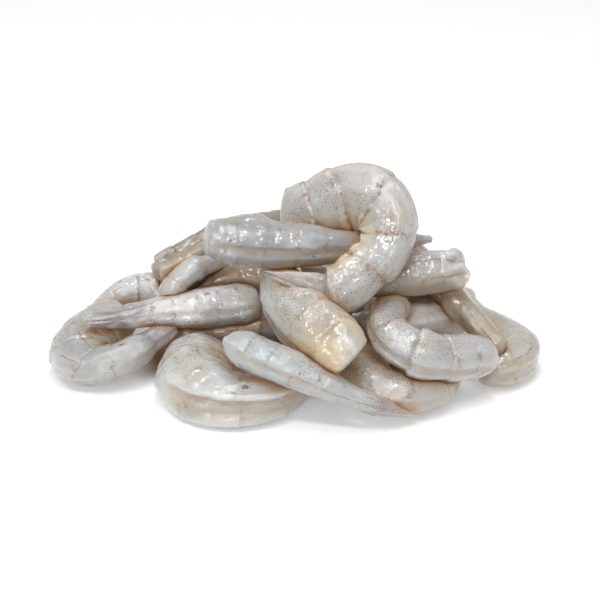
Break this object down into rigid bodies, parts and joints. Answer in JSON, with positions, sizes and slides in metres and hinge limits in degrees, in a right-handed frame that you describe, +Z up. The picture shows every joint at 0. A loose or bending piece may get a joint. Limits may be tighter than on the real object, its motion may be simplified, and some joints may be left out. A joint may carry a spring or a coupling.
{
  "type": "peeled prawns",
  "caption": "Loose heap of raw peeled prawns, headless and curled, slit along the back, with grey-white flesh in segments.",
  "frame": {"origin": "on the surface the heap lies on, under the middle of its outline", "axes": "+X to the right across the longest side of the heap, +Y to the back, +Z up"},
  "size_m": [0.1736, 0.1106, 0.0746],
  "materials": {
    "flesh": "wet, translucent raw flesh"
  },
  "bodies": {
    "root": {"prawn_crown": "flesh", "prawn_ledge": "flesh", "prawn_diagonal": "flesh", "prawn_middle": "flesh", "prawn_reach": "flesh", "prawn_perch": "flesh", "prawn_spill": "flesh", "prawn_cheek": "flesh", "prawn_tuck": "flesh", "prawn_ruff": "flesh", "prawn_shoulder": "flesh", "prawn_left_base": "flesh", "prawn_front_base": "flesh", "prawn_right_base": "flesh", "prawn_far_right": "flesh", "prawn_dusk": "flesh", "prawn_spine": "flesh", "prawn_keel": "flesh", "prawn_root": "flesh", "prawn_heel": "flesh", "prawn_back_left": "flesh", "prawn_back_mid": "flesh", "prawn_back_right": "flesh", "prawn_back_top": "flesh"}
  },
  "joints": []
}
